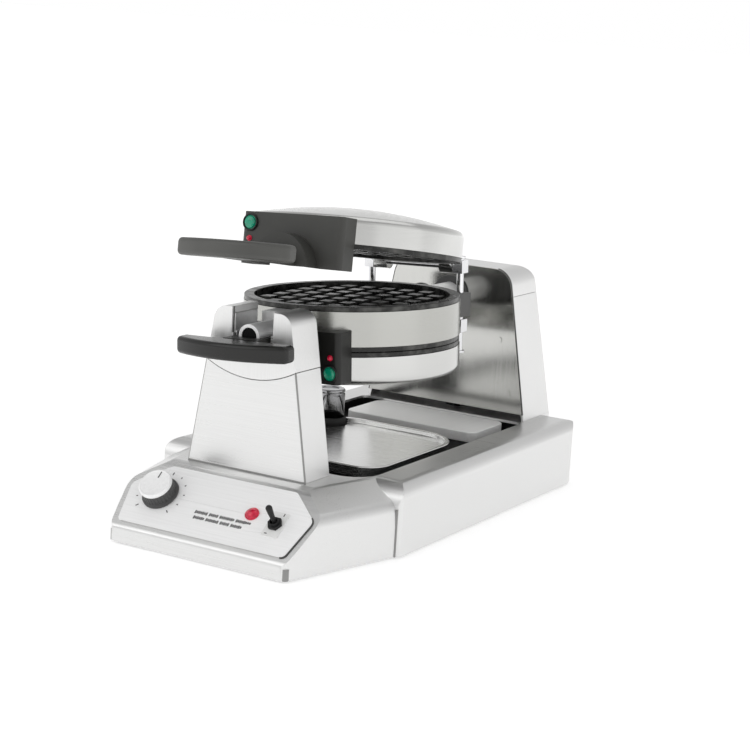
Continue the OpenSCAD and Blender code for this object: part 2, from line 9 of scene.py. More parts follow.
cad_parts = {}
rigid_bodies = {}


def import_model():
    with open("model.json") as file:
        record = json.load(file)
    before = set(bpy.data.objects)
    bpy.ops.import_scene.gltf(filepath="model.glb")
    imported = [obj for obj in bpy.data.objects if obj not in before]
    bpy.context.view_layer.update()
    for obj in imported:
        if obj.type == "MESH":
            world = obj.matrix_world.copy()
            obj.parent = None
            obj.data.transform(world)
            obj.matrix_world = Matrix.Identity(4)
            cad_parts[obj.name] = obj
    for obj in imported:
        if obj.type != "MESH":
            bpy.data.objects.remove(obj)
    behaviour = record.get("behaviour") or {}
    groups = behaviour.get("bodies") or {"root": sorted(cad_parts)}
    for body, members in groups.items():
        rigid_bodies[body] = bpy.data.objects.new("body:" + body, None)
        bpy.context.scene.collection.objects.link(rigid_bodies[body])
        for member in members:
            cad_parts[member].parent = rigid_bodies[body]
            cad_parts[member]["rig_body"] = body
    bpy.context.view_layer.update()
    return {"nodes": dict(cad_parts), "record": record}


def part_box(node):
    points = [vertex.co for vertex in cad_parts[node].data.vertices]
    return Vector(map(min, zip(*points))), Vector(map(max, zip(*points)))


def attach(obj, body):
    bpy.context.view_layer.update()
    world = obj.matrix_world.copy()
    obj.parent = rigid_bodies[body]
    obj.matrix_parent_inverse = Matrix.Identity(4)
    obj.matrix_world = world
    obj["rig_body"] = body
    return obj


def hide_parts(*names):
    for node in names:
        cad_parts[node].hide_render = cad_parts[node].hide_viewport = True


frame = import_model()
scene = bpy.context.scene
MM = 0.001
NODES = frame["nodes"]
SLOTS = {part["node"]: part["material_slot"] for part in frame["record"]["subparts"]}
FRONT = Vector((0, -1, 0))
UP = Vector((0, 0, 1))
PANEL_FACING = Vector((0, -0.6, 0.8))   # roughly the way the control panel looks
SIDES = ((-1, "left"), (1, "right"))
BEVEL_ANGLE = math.radians(32)          # edges sharper than this are softened

# Places on the casing that no node's box gives, in millimetres.
STEP_Y = -127.3         # just in front of the wider rear section's front face
STEP_INSET = 4.6        # from the rear section's side to just inside the front section's
CREASE_HEIGHT = 44      # top of the painted shade in the crease at the step, up from the casing's foot
LIP_DEPTH = 15          # the front corners lie within this of the casing's front
LIP_SHADE_TOP = 12.5     # height at which the painted shade on the lip's corner ends

# How far print stands off the control panel, in millimetres.
INK_HEIGHT = 0.12


# ---------------------------------------------------------------- shader building blocks

def shader_of(name):
    """A new material, its node tree and its shader."""
    made = bpy.data.materials.new(name)
    made.use_nodes = True
    tree = made.node_tree
    return made, tree, tree.nodes["Principled BSDF"]


def noise(tree, scale, stretch=(1, 1, 1), detail=3.0, rough=0.55):
    """Noise in object space, stretched by a mapping."""
    place = tree.nodes.new("ShaderNodeTexCoord")
    mapping = tree.nodes.new("ShaderNodeMapping")
    mapping.inputs["Scale"].default_value = stretch
    texture = tree.nodes.new("ShaderNodeTexNoise")
    texture.inputs["Scale"].default_value = scale
    texture.inputs["Detail"].default_value = detail
    texture.inputs["Roughness"].default_value = rough
    tree.links.new(place.outputs["Object"], mapping.inputs["Vector"])
    tree.links.new(mapping.outputs["Vector"], texture.inputs["Vector"])
    return texture.outputs["Fac"]


def spread(tree, source, low, high, from_low=0.3, from_high=0.7):
    """Maps a factor to the range low..high."""
    ranged = tree.nodes.new("ShaderNodeMapRange")
    ranged.inputs["From Min"].default_value = from_low
    ranged.inputs["From Max"].default_value = from_high
    ranged.inputs["To Min"].default_value = low
    ranged.inputs["To Max"].default_value = high
    tree.links.new(source, ranged.inputs["Value"])
    return ranged.outputs["Result"]


def tint(tree, source, dark, light):
    """Mixes two colours by a factor."""
    mix = tree.nodes.new("ShaderNodeMix")
    mix.data_type = "RGBA"
    mix.inputs["A"].default_value = (*dark, 1)
    mix.inputs["B"].default_value = (*light, 1)
    tree.links.new(source, mix.inputs["Factor"])
    return mix.outputs["Result"]


def add(tree, first, second):
    """Adds two factors."""
    total = tree.nodes.new("ShaderNodeMath")
    total.operation = "ADD"
    tree.links.new(first, total.inputs[0])
    tree.links.new(second, total.inputs[1])
    return total.outputs[0]


def bump(tree, shader, source, depth, strength=0.6):
    """Feeds a height, depth metres high, to the shader's normal."""
    bumped = tree.nodes.new("ShaderNodeBump")
    bumped.inputs["Strength"].default_value = strength
    bumped.inputs["Distance"].default_value = depth
    tree.links.new(source, bumped.inputs["Height"])
    tree.links.new(bumped.outputs["Normal"], shader.inputs["Normal"])


def metal(name, base, rough, grain, metallic=1.0, depth=0.00002, swing=0.06):
    """Metal with polishing lines along the axis that has the small number in grain, or an even grain."""
    made, tree, shader = shader_of(name)
    lines = noise(tree, 6.0, grain, 4.0, 0.6)
    clouds = noise(tree, 9.0, (1, 1, 1), 2.0)
    light = tuple(min(1.0, c * 1.03) for c in base)
    dark = tuple(c * 0.95 for c in base)
    tree.links.new(tint(tree, spread(tree, lines, 0, 1), dark, light), shader.inputs["Base Color"])
    along = spread(tree, lines, rough - swing, rough + swing)
    patches = spread(tree, clouds, -0.02, 0.03)
    tree.links.new(add(tree, along, patches), shader.inputs["Roughness"])
    shader.inputs["Metallic"].default_value = metallic
    bump(tree, shader, lines, depth)
    return made


def plastic(name, base, rough, grain=900.0, depth=0.00005, light=1.5, gloss=0.5):
    """Moulded plastic with a fine spark-eroded grain and a slightly uneven colour."""
    made, tree, shader = shader_of(name)
    fine = noise(tree, grain, (1, 1, 1), 2.0)
    clouds = noise(tree, 14.0)
    brighter = tuple(min(1.0, c * light) for c in base)
    tree.links.new(tint(tree, spread(tree, clouds, 0, 1), base, brighter), shader.inputs["Base Color"])
    tree.links.new(spread(tree, clouds, rough - 0.05, rough + 0.07), shader.inputs["Roughness"])
    shader.inputs["Specular IOR Level"].default_value = gloss
    bump(tree, shader, fine, depth, 0.5)
    return made


def lens(name, base, glow):
    """Coloured lens with a faint, uneven glow under a clear skin."""
    made, tree, shader = shader_of(name)
    clouds = noise(tree, 220.0, (1, 1, 1), 2.0)
    deep = tuple(c * 0.5 for c in base)
    colour = tint(tree, spread(tree, clouds, 0, 1), deep, base)
    tree.links.new(colour, shader.inputs["Base Color"])
    tree.links.new(colour, shader.inputs["Emission Color"])
    shader.inputs["Emission Strength"].default_value = glow
    shader.inputs["Roughness"].default_value = 0.15
    shader.inputs["Coat Weight"].default_value = 0.4
    shader.inputs["Coat Roughness"].default_value = 0.05
    return made


# ---------------------------------------------------------------- materials

def casing_steel():
    return metal("casing_steel", (0.765, 0.765, 0.76), 0.32, (2.5, 320, 320), 0.92)


def cap_steel():
    return metal("cap_steel", (0.79, 0.79, 0.785), 0.32, (320, 320, 2.5), 0.92)


def sheet_steel():
    return metal("sheet_steel", (0.6, 0.6, 0.6), 0.36, (3, 200, 200))


def brushed_plate():
    return metal("brushed_plate", (0.56, 0.56, 0.54), 0.13, (420, 420, 2), depth=0.00003, swing=0.05)


def band_steel():
    return metal("band_steel", (0.46, 0.46, 0.437), 0.24, (2, 2, 700), depth=0.00003, swing=0.05)


def lid_steel():
    return metal("lid_steel", (0.61, 0.61, 0.597), 0.2, (2, 2, 700), depth=0.00003, swing=0.05)


def neck_steel():
    return metal("neck_steel", (0.93, 0.93, 0.93), 0.35, (500, 2, 500), 0.6)


def tray_steel():
    return metal("tray_steel", (0.88, 0.88, 0.87), 0.24, (2, 340, 340), swing=0.05)


def chrome():
    return metal("chrome", (0.7, 0.7, 0.71), 0.1, (300, 300, 3), depth=0.00001, swing=0.03)


# A darker copy of chrome for the stop post: painted reflection of the dark parts round it.
def post_chrome_dark_reflection():
    return metal("post_chrome_dark_reflection", (0.36, 0.36, 0.37), 0.1, (300, 300, 3), depth=0.00001, swing=0.03)


def screw_steel():
    return metal("screw_steel", (0.3, 0.3, 0.31), 0.35, (80, 80, 80))


def drip_plate_pale_reflection():
    """Reflects little and is nearly white: a painted reflection of the bright surroundings that the steel
    plate mirrors, so that it stays pale under the dark cooking body.
    """
    return metal("drip_plate_pale_reflection", (0.97, 0.97, 0.96), 0.35, (340, 2, 340), 0.1, swing=0.05)


def heater_sheath():
    return metal("heater_sheath", (0.25, 0.24, 0.23), 0.5, (60, 60, 60), 0.9)


def dark_casting():
    return metal("dark_casting", (0.1, 0.1, 0.098), 0.5, (160, 160, 160), 0.6, 0.0001)


def knob_silver():
    """Pale and nearly matt, like the sheet round the knob."""
    return metal("knob_silver", (0.97, 0.97, 0.97), 0.35, (60, 60, 60), 0.1, swing=0.05)


def winding():
    return metal("winding", (0.5, 0.28, 0.12), 0.45, (10, 600, 10), 0.7, 0.0001)


def panel_sheet():
    """White satin sheet of the control panel, with faint rolling lines."""
    made, tree, shader = shader_of("panel_sheet")
    fine = noise(tree, 700.0, (1, 1, 1), 2.0)
    lines = noise(tree, 5.0, (3, 160, 160), 3.0)
    colour = tint(tree, spread(tree, lines, 0, 1), (0.93, 0.93, 0.93), (0.99, 0.99, 0.99))
    tree.links.new(colour, shader.inputs["Base Color"])
    tree.links.new(spread(tree, lines, 0.32, 0.42), shader.inputs["Roughness"])
    shader.inputs["Coat Weight"].default_value = 0.15
    bump(tree, shader, fine, 0.00003, 0.4)
    return made


def nonstick_grid():
    """Black non-stick coating on cast metal: orange peel and worn, slightly lighter patches."""
    made, tree, shader = shader_of("nonstick_grid")
    peel = noise(tree, 420.0)
    wear = noise(tree, 80.0, (1, 1, 1), 4.0)
    colour = tint(tree, spread(tree, wear, 0, 1, 0.45, 0.7), (0.02, 0.02, 0.019), (0.1, 0.1, 0.094))
    tree.links.new(colour, shader.inputs["Base Color"])
    tree.links.new(spread(tree, wear, 0.22, 0.4), shader.inputs["Roughness"])
    shader.inputs["Metallic"].default_value = 0.45
    bump(tree, shader, peel, 0.00008)
    return made


def rubber():
    return plastic("rubber", (0.02, 0.02, 0.02), 0.75, 500.0, 0.0001)


def black_plastic():
    return plastic("black_plastic", (0.012, 0.012, 0.012), 0.45, gloss=0.3)


def housing_plastic():
    return plastic("housing_plastic", (0.009, 0.009, 0.008), 0.42, 1100.0, 0.00004, 1.6, 0.35)


def housing_plastic_lit():
    """The upper housing: a lit copy of the housing plastic, painted lighter grey for the light that falls
    on it.
    """
    return plastic("housing_plastic_lit", (0.03, 0.03, 0.027), 0.45, 1100.0, 0.00004, 1.7, 0.5)


def handle_plastic():
    return plastic("handle_plastic", (0.004, 0.004, 0.0035), 0.24, 800.0, 0.00003, 1.7, 0.45)


def handle_plastic_lit():
    """The upper handle: a lit copy of the handle plastic, painted lighter grey for the light that falls on
    it.
    """
    return plastic("handle_plastic_lit", (0.05, 0.05, 0.046), 0.42, 800.0, 0.00006, 1.5, 0.6)


def recess_shade_black():
    """Deep black painted shade, for the inside of the recess under the trays and of the neck's bore."""
    return plastic("recess_shade_black", (0.003, 0.003, 0.003), 0.6, 500.0, gloss=0.12)


def bearing_plastic():
    return plastic("bearing_plastic", (0.05, 0.05, 0.05), 0.45)


def white_plastic():
    return plastic("white_plastic", (0.8, 0.8, 0.79), 0.3, light=1.08)


def board():
    return plastic("board", (0.02, 0.14, 0.05), 0.35, 300.0)


def ivory_plastic():
    return plastic("ivory_plastic", (0.75, 0.7, 0.55), 0.5, light=1.1)


def wire_sleeve():
    return plastic("wire_sleeve", (0.015, 0.015, 0.015), 0.55, 400.0)


def insulation():
    return plastic("insulation", (0.75, 0.72, 0.66), 0.9, 180.0, 0.0004, 1.1)


def red_lens():
    return lens("red_lens", (0.66, 0.005, 0.045), 0.22)


def green_lens():
    return lens("green_lens", (0.0, 0.3, 0.17), 0.18)


def print_ink():
    return plastic("print_ink", (0.045, 0.045, 0.045), 0.55, 1500.0, 0.00001)


# Greys for beads of painted shade in gaps, creases and joints, from dark to faint.
def seam_shadow():
    return plastic("seam_shadow", (0.07, 0.07, 0.068), 0.7, 600.0, 0.00002, gloss=0.2)


def seam_mid():
    return plastic("seam_mid", (0.28, 0.28, 0.275), 0.65, 600.0, 0.00002, 1.2, gloss=0.25)


def seam_grey():
    return plastic("seam_grey", (0.5, 0.5, 0.49), 0.6, 600.0, 0.00002, 1.15, gloss=0.3)


MAKERS = (
    casing_steel, cap_steel, sheet_steel, brushed_plate, band_steel, lid_steel, neck_steel, tray_steel,
    drip_plate_pale_reflection, chrome, post_chrome_dark_reflection, screw_steel, heater_sheath, dark_casting, knob_silver, winding,
    panel_sheet, nonstick_grid, rubber, black_plastic, housing_plastic, housing_plastic_lit,
    handle_plastic, handle_plastic_lit, recess_shade_black, bearing_plastic, white_plastic, board,
    ivory_plastic, wire_sleeve, insulation, red_lens, green_lens, print_ink, seam_shadow, seam_mid,
    seam_grey,
)
MATERIALS = {maker.__name__: maker() for maker in MAKERS}


# ---------------------------------------------------------------- making pieces

def body_of(node):
    """The CAD body on which a node rides."""
    return NODES[node]["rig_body"]


def finish_piece(piece, body, material, node=None):
    """Gives a piece its material and its body, and hides the CAD node that it stands for."""
    piece.data.materials.clear()
    piece.data.materials.append(MATERIALS[material])
    if node:
        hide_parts(node)
    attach(piece, body)


def soften(piece, width, segments=3):
    """Smooth shading, with a bevel on every sharp edge where a width, in metres, is given."""
    data = piece.data
    data.polygons.foreach_set("use_smooth", [True] * len(data.polygons))
    if width:
        bevel = piece.modifiers.new("edges", "BEVEL")
        bevel.width = width
        bevel.segments = segments
        bevel.limit_method = "ANGLE"
        bevel.angle_limit = BEVEL_ANGLE
        bevel.use_clamp_overlap = True
        bevel.harden_normals = True
    even = piece.modifiers.new("normals", "WEIGHTED_NORMAL")
    even.keep_sharp = True
    return piece


def from_mesh(name, bm):
    """A new object in the scene, made of the mesh in bm, which is freed."""
    bmesh.ops.recalc_face_normals(bm, faces=bm.faces)
    data = bpy.data.meshes.new(name)
    bm.to_mesh(data)
    bm.free()
    piece = bpy.data.objects.new(name, data)
    scene.collection.objects.link(piece)
    return piece


def merged(node):
    """The CAD node's mesh with its coplanar triangles joined into large faces."""
    same_spot, flat = 1e-6, math.radians(0.6)
    bm = bmesh.new()
    bm.from_mesh(NODES[node].data)
    bmesh.ops.remove_doubles(bm, verts=bm.verts, dist=same_spot)
    bmesh.ops.dissolve_limit(bm, angle_limit=flat, verts=bm.verts, edges=bm.edges)
    return bm


# Nodes whose look differs from the one of their material slot; the lit upper plastics, the pale drip plate
# and the black tray well are painted light and shade.
LOOKS = {
    "upper_cover": "lid_steel", "lower_cover": "lid_steel", "rear_drip_plate": "drip_plate_pale_reflection",
    "upper_housing": "housing_plastic_lit", "upper_arm": "housing_plastic_lit",
    "upper_handle": "handle_plastic_lit", "tray_well": "recess_shade_black",
}


def refined(node, width):
    """The CAD node's own shape with softened edges; width is in millimetres."""
    segments = 5 if width > 3 else 3
    piece = soften(from_mesh("fine_" + node, merged(node)), width * MM, segments)
    finish_piece(piece, body_of(node), LOOKS.get(node, SLOTS[node]), node)


def largest_face(node, facing):
    """Corners, centre and normal of the node's largest face that looks towards facing."""
    bm = merged(node)
    ahead = [face for face in bm.faces if face.normal.dot(facing) > 0.5]
    face = max(ahead, key=lambda f: f.calc_area())
    corners = [vert.co.copy() for vert in face.verts]
    centre = face.calc_center_median()
    normal = face.normal.copy()
    bm.free()
    return corners, centre, normal


def axes_on(normal):
    """A matrix whose Z is the normal and whose X is as level as possible."""
    across = UP.cross(normal)
    across = across.normalized() if across.length > 1e-4 else Vector((1, 0, 0))
    return Matrix((across, normal.cross(across), normal)).transposed()


def lathe(name, profile, centre, normal, steps=96, ripple=None):
    """Turns a profile of (radius, height) in millimetres about the normal through centre."""
    bm = bmesh.new()
    turn = axes_on(normal)
    rings = []
    for radius, height in profile:
        ring = []
        for step in range(steps):
            angle = 2 * math.pi * step / steps
            wide = radius - (ripple(angle, height) if ripple else 0)
            spot = Vector((wide * math.cos(angle), wide * math.sin(angle), height)) * MM
            ring.append(bm.verts.new(centre + turn @ spot))
        rings.append(ring)
    for low, high in zip(rings, rings[1:]):
        for step in range(steps):
            after = (step + 1) % steps
            bm.faces.new((low[step], low[after], high[after], high[step]))
    bm.faces.new(list(reversed(rings[0])))
    bm.faces.new(rings[-1])
    return from_mesh(name, bm)


def ring_profile(radius, minor, sides=12):
    """Closed loop of a ring's section, for hoop()."""
    turn = [2 * math.pi * side / sides for side in range(sides)]
    return [(radius + minor * math.cos(a), minor * math.sin(a)) for a in turn]


def hoop(name, radius, minor, centre, normal, steps=72):
    """A plain ring of round section; sizes in millimetres."""
    bm = bmesh.new()
    turn = axes_on(normal)
    section = ring_profile(radius, minor)
    rings = []
    for step in range(steps):
        angle = 2 * math.pi * step / steps
        ring = []
        for wide, height in section:
            spot = Vector((wide * math.cos(angle), wide * math.sin(angle), height)) * MM
            ring.append(bm.verts.new(centre + turn @ spot))
        rings.append(ring)
    for step in range(steps):
        here, after = rings[step], rings[(step + 1) % steps]
        for side in range(len(section)):
            over = (side + 1) % len(section)
            bm.faces.new((here[side], here[over], after[over], after[side]))
    return from_mesh(name, bm)


def cord_along(name, points, radius, closed=False, sides=6):
    """A thin bead that follows points; radius in millimetres."""
    bm = bmesh.new()
    rings = []
    count = len(points)
    for index, point in enumerate(points):
        before = points[index - 1] if closed or index else point
        after = points[(index + 1) % count] if closed or index < count - 1 else point
        turn = axes_on((after - before).normalized())
        ring = []
        for side in range(sides):
            angle = 2 * math.pi * side / sides
            spot = Vector((math.cos(angle), math.sin(angle), 0)) * radius * MM
            ring.append(bm.verts.new(point + turn @ spot))
        rings.append(ring)
    for index in range(count if closed else count - 1):
        here, after = rings[index], rings[(index + 1) % count]
        for side in range(sides):
            over = (side + 1) % sides
            bm.faces.new((here[side], here[over], after[over], after[side]))
    return from_mesh(name, bm)


def plates(name, boxes, origin, turn):
    """Thin blocks on a plane: each is (x, y, width, depth, height, turned by), in millimetres."""
    bm = bmesh.new()
    for x, y, width, depth, height, spin in boxes:
        size = Matrix.Diagonal((width * MM, depth * MM, height * MM, 1))
        place = Matrix.Translation(origin + turn @ (Vector((x, y, height / 2)) * MM))
        spun = turn.to_4x4() @ Matrix.Rotation(spin, 4, "Z")
        bmesh.ops.create_cube(bm, size=1, matrix=place @ spun @ size)
    return from_mesh(name, bm)


# ---------------------------------------------------------------- the control panel

def panel_plane():
    """A point on the control panel's face and the axes across, up and out of it."""
    _, centre, normal = largest_face("control_panel", PANEL_FACING)
    return centre, axes_on(normal)


def extent(node, origin, turn):
    """Lowest and highest corner of a node in turned axes, in millimetres."""
    back = turn.transposed()
    spots = [back @ (vert.co - origin) / MM for vert in NODES[node].data.vertices]
    low = Vector([min(spot[axis] for spot in spots) for axis in range(3)])
    high = Vector([max(spot[axis] for spot in spots) for axis in range(3)])
    return low, high


def middle_of(low, high):
    """The place across and up the panel at the middle of an extent."""
    return (low.x + high.x) / 2, (low.y + high.y) / 2


def control_knob():
    """Bright spun cap on a dark fluted skirt, with a pointer line."""
    origin, turn = panel_plane()
    low, high = extent("control_knob", origin, turn)
    middle = origin + turn @ Vector((*middle_of(low, high), 0)) * MM
    wide, tall = (high.x - low.x) / 2, high.z
    body = body_of("control_knob")
    flute_count, flute_depth = 30, 0.5

    def flutes(angle, height):
        deep = flute_depth * max(0, math.sin(flute_count * angle))
        return deep if 3 < height < tall - 4 else 0

    skirt_outline = [
        (wide - 0.4, 0.3), (wide, 0.8), (wide, 1.9), (wide - 0.6, 2.5), (wide - 1.9, 2.9),
        (wide - 2.1, 3.4), (wide - 2.2, tall - 4.6), (wide - 2.6, tall - 3.9),
    ]
    cap_outline = [
        (wide - 2.9, tall - 4.2), (wide - 2.1, tall - 3.7), (wide - 2.0, tall - 1.2),
        (wide - 2.5, tall - 0.35), (wide - 3.3, tall), (wide - 3.9, tall - 0.2),
        (wide - 4.4, tall - 0.5), (2, tall - 0.7),
    ]
    skirt = lathe("knob_skirt", skirt_outline, middle, turn.col[2], 240, flutes)
    finish_piece(soften(skirt, 0), body, "bearing_plastic", "control_knob")
    cap = lathe("knob_cap", cap_outline, middle, turn.col[2])
    finish_piece(soften(cap, 0), body, "knob_silver", "control_knob")
    pointer = [(0, wide * 0.55, 1.1, wide * 0.4, tall - 0.42, 0)]
    finish_piece(plates("knob_pointer", pointer, middle, turn), body, "print_ink")


def dial_marks():
    """Ring of ticks round the knob, longer at both ends and in the middle."""
    origin, turn = panel_plane()
    low, high = extent("control_knob", origin, turn)
    mid_x, mid_y = middle_of(low, high)
    reach = (high.x - low.x) / 2 + 6
    first, pitch, tick_width = 225, 27, 1.0
    marks = []
    for step in range(11):
        angle = math.radians(first - pitch * step)
        x, y = mid_x + reach * math.cos(angle), mid_y + reach * math.sin(angle)
        length = 3.0 if step % 5 == 0 else 1.6
        marks.append((x, y, length, tick_width, INK_HEIGHT, angle))
    finish_piece(plates("dial_marks", marks, origin, turn), "base", "print_ink")


def printed_dashes():
    """Two lines of plain dashes where such a panel carries its printing, and four under the lamp."""
    origin, turn = panel_plane()
    _, level = middle_of(*extent("control_knob", origin, turn))
    left, indent, first_row, row_pitch = -38.0, 1.5, 10, 5.8
    dash, tall, shorter, pitch, gap = 1.5, 3.4, 1.0, 1.95, 1.6
    marks = []
    for row, groups in enumerate(((7, 5, 8, 6), (6, 7, 5, 6))):
        x, y = left + indent * row, level - first_row - row_pitch * row
        for count in groups:
            for index in range(count):
                marks.append((x, y, dash, tall - shorter * (index % 2), INK_HEIGHT, 0))
                x += pitch
            x += gap
    low, high = extent("power_lamp", origin, turn)
    mid_x, _ = middle_of(low, high)
    for index in range(4):
        marks.append((mid_x - 3 + 2 * index, low.y - 3.2, dash, 2.2, INK_HEIGHT, 0))
    finish_piece(plates("printed_dashes", marks, origin, turn), "base", "print_ink")


def panel_seam():
    """The gap round the panel sheet, drawn as beads of painted shade: dark on the right, where it is open,
    and faint elsewhere.
    """
    depth, radius, right_rise, right_radius, right_share = 0.45, 0.5, 0.15, 0.75, 0.86
    corners, _, normal = largest_face("control_panel", PANEL_FACING)
    sunk = [corner - normal * depth * MM for corner in corners]
    bead = cord_along("panel_seam", sunk, radius, closed=True)
    finish_piece(bead, "base", "seam_grey")
    outer = max(corner.x for corner in sunk) * right_share
    right = sorted((corner for corner in sunk if corner.x > outer), key=lambda c: c.z)
    line = [corner + normal * right_rise * MM for corner in right]
    bead = cord_along("panel_seam_right", line, right_radius)
    finish_piece(bead, "base", "seam_shadow")


def corner_of_lip(side, level):
    """The outermost point of the casing's front corner, within 4 mm of a height."""
    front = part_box("base_shell")[0][1] + LIP_DEPTH * MM
    spots = [vert.co for vert in NODES["base_shell"].data.vertices]
    ring = [spot for spot in spots if spot.y < front and abs(spot.z - level) < 4 * MM]
    return max(ring, key=lambda spot: side * spot.x - spot.y).copy()


def lip_corner_shade():
    """Painted shade down the rounded vertical corners of the front lip, broad and dark on the right."""
    level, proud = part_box("base_shell")[0][2], 0.7
    for side, label, radius, look in ((-1, "left", 0.9, "seam_grey"), (1, "right", 4.0, "seam_mid")):
        inward = Vector((-side, 1.2, 0)).normalized() * (radius - proud) * MM
        foot = corner_of_lip(side, level) + inward
        top = foot.copy()
        top.z = LIP_SHADE_TOP * MM
        bead = cord_along("lip_corner_" + label, [foot, top], radius, sides=24)
        finish_piece(soften(bead, 0), "base", look)


def step_creases():
    """Painted shade in the soft crease where the narrower front of the casing meets its rear section."""
    low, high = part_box("base_shell")
    foot, head = low[2], low[2] + CREASE_HEIGHT * MM
    for side, label in SIDES:
        edge = side * (high[0] - STEP_INSET * MM)
        line = [Vector((edge, STEP_Y * MM, height)) for height in (foot, head)]
        finish_piece(cord_along("step_crease_" + label, line, 1.0), "base", "seam_mid")


def tower_foot_shadow():
    """Painted contact shadow where the front tower stands on the deck."""
    low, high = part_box("front_tower_shell")
    inset, rise = 1.0 * MM, 0.4 * MM
    line = [Vector((x, low[1], low[2] + rise)) for x in (low[0] + inset, high[0] - inset)]
    finish_piece(cord_along("tower_foot_shadow", line, 0.9), "base", "seam_mid")


def neck_bore_shade():
    """Black disc in the bore at the front end of the turning neck: painted shade for the dark inside of the
    bore.
    """
    radius, sunk = 7.8, 1.2 * MM
    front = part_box("pivot_neck")[0][1]
    low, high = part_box("rear_shaft")
    centre = Vector(((low[0] + high[0]) / 2, front + sunk, (low[2] + high[2]) / 2))
    outline = [(radius, -3), (radius, 0), (radius - 1, 0.5), (1, 0.5)]
    shade_disc = lathe("neck_bore_shade", outline, centre, FRONT, 48)
    finish_piece(soften(shade_disc, 0), body_of("pivot_neck"), "recess_shade_black")


def switch_marks():
    """On and off marks at the two ends of the switch plate."""
    origin, turn = panel_plane()
    mid_x, mid_y = middle_of(*extent("switch_bushing", origin, turn))
    height, stroke = 1.08, 0.9
    marks = [
        (mid_x + 3.5, mid_y + 11, stroke, 3.0, height, 0),
        (mid_x - 4.5, mid_y - 10.5, 2.6, stroke, height, 0),
    ]
    finish_piece(plates("switch_marks", marks, origin, turn), "base", "print_ink")


# ---------------------------------------------------------------- lamps

def signal_lamp(node, bezel):
    """A domed lens on the front of a lid housing, with a black ring round it where bezel is true."""
    corners, centre, normal = largest_face(node, FRONT)
    radius = max((corner - centre).length for corner in corners) / MM
    outline = [
        (radius, -0.3), (radius * 0.96, 0.3), (radius * 0.8, 0.8), (radius * 0.5, 1.2),
        (radius * 0.2, 1.35),
    ]
    glass = lathe(node + "_dome", outline, centre, normal, 48)
    finish_piece(soften(glass, 0), body_of(node), SLOTS[node])
    if bezel:
        clear, minor, sunk = 1.6, 0.9, 0.7
        ring = hoop(node + "_bezel", radius + clear, minor, centre - normal * sunk * MM, normal)
        finish_piece(soften(ring, 0), body_of(node), "black_plastic")


# ---------------------------------------------------------------- seams and edges of the towers

def edge_of_face(node, side):
    """The tall outer edge of a tower's largest front face; side is 1 for right and -1 for left."""
    corners, _, _ = largest_face(node, FRONT)
    outer = max(side * corner.x for corner in corners)
    height = max(c.z for c in corners) - min(c.z for c in corners)
    best = None
    for index, corner in enumerate(corners):
        after = corners[(index + 1) % len(corners)]
        tall = abs(after.z - corner.z)
        right = side * (corner.x + after.x) / 2 > outer * 0.4
        if right and tall > height * 0.3 and (best is None or tall > best[0]):
            best = (tall, corner, after)
    return best[1], best[2]


def front_tower_seams():
    """Folded seam down both front edges of the front tower, drawn as beads of painted shade: the right one
    stands slightly open and is darker.
    """
    for side, label, radius, look in ((-1, "left", 0.3, "seam_grey"), (1, "right", 0.9, "seam_mid")):
        low, high = edge_of_face("front_tower_shell", side)
        bead = cord_along("tower_seam_" + label, [low, high], radius)
        finish_piece(bead, body_of("front_tower_shell"), look)


def rear_tower_gap():
    """Painted shade in the gap between the rear tower's casing and its inner plate."""
    low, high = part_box("rear_inner_plate")
    outer, face, sunk = high[0] * 0.55, low[1] + 0.1 * MM, Vector((0, 0.9, 0)) * MM
    for side, label in SIDES:
        rim = {}
        for vert in NODES["rear_inner_plate"].data.vertices:
            if side * vert.co.x > outer and vert.co.y < face:
                rim[round(vert.co.z, 5)] = vert.co.copy()
        line = [rim[level] + sunk for level in sorted(rim)]
        bead = cord_along("tower_gap_" + label, line, 1.0)
        finish_piece(bead, body_of("rear_inner_plate"), "seam_shadow")


def saddle_recess_shade():
    """Painted shade in the recess between the saddle's liner and the front tower's cap."""
    low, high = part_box("front_bearing")
    slack = 0.2 * MM
    corners, _, _ = largest_face("front_tower_cap", FRONT)
    notch = [c for c in corners if abs(c.x) < high[0] + slack and c.z > low[2] - slack]
    top = max(corner.z for corner in notch)
    notch.sort(key=lambda c: math.atan2(c.x, top - c.z))
    line = [Vector((corner.x, low[1] - slack, corner.z)) for corner in notch]
    bead = cord_along("saddle_recess_shade", line, 0.7)
    finish_piece(bead, body_of("front_bearing"), "seam_shadow")


# ---------------------------------------------------------------- the stop post

def tray_post():
    """Bright tube with a turned top, standing in a black rubber foot."""
    low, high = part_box("tray_post")
    middle = Vector(((low[0] + high[0]) / 2, (low[1] + high[1]) / 2, low[2]))
    ledge = 2
    wide, tall = (high[0] - low[0]) / 2 / MM - ledge, (high[2] - low[2]) / MM
    tube_outline = [
        (wide, 0), (wide, tall - 5), (wide - 0.8, tall - 4.4), (wide - 0.8, tall - 3.6),
        (wide, tall - 3), (wide, tall - 0.9), (wide - 0.9, tall), (wide - 6, tall),
        (wide - 6.4, tall - 1.2), (1, tall - 1.2),
    ]
    foot_outline = [
        (wide + ledge, 0), (wide + ledge, 11.5), (wide + 1.6, 13), (wide + 0.9, 13.6),
        (wide - 0.5, 13.6), (wide - 0.5, 0),
    ]
    tube = lathe("post_tube", tube_outline, middle, UP)
    finish_piece(soften(tube, 0), body_of("tray_post"), "post_chrome_dark_reflection", "tray_post")
    foot = lathe("post_foot", foot_outline, middle, UP)
    finish_piece(soften(foot, 0), body_of("tray_post"), "rubber", node="tray_post")


# ---------------------------------------------------------------- refined and plain nodes

